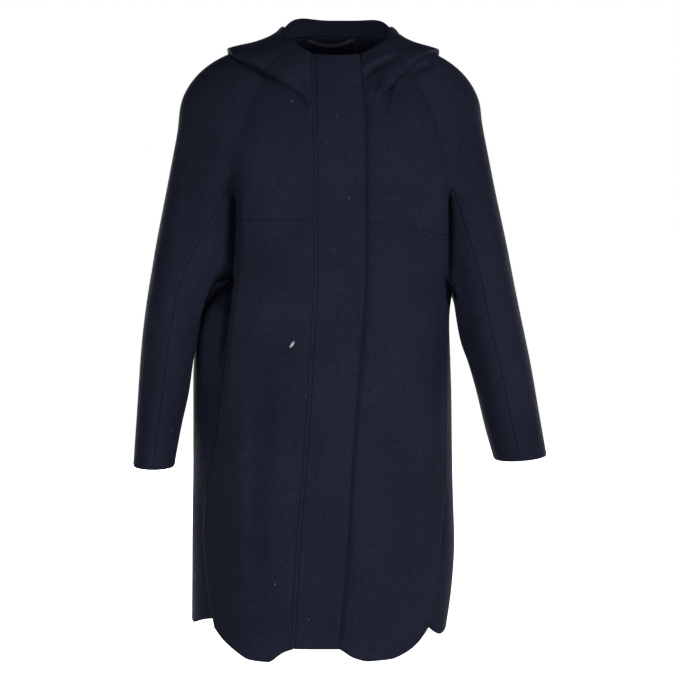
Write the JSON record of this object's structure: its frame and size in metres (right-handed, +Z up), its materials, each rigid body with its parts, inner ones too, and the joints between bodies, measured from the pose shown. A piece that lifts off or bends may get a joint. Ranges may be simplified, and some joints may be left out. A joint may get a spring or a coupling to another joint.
{
  "type": "hooded wool coat",
  "caption": "Plain hooded wool coat in its worn form, with a concealed front band, dropped yoke shoulders, long sleeves, rounded front hems and open side slits.",
  "frame": {"origin": "middle of the neck base, level with the top of the shoulders, where a wearer or a hanger carries the coat", "axes": "+Z up, -Y to the coat's front, +X to the wearer's left"},
  "size_m": [0.615, 0.3051, 0.942],
  "materials": {
    "wool": "matte brushed double-faced wool, dark navy",
    "tape": "matte woven tape, dark navy"
  },
  "bodies": {
    "root": {"back": "wool", "front_band": "wool", "front_left": "wool", "front_right": "wool", "hanger_loop": "tape", "hood_left": "wool", "hood_right": "wool", "under_sleeve_left": "wool", "under_sleeve_right": "wool", "yoke_sleeve_left": "wool", "yoke_sleeve_right": "wool"}
  },
  "joints": []
}
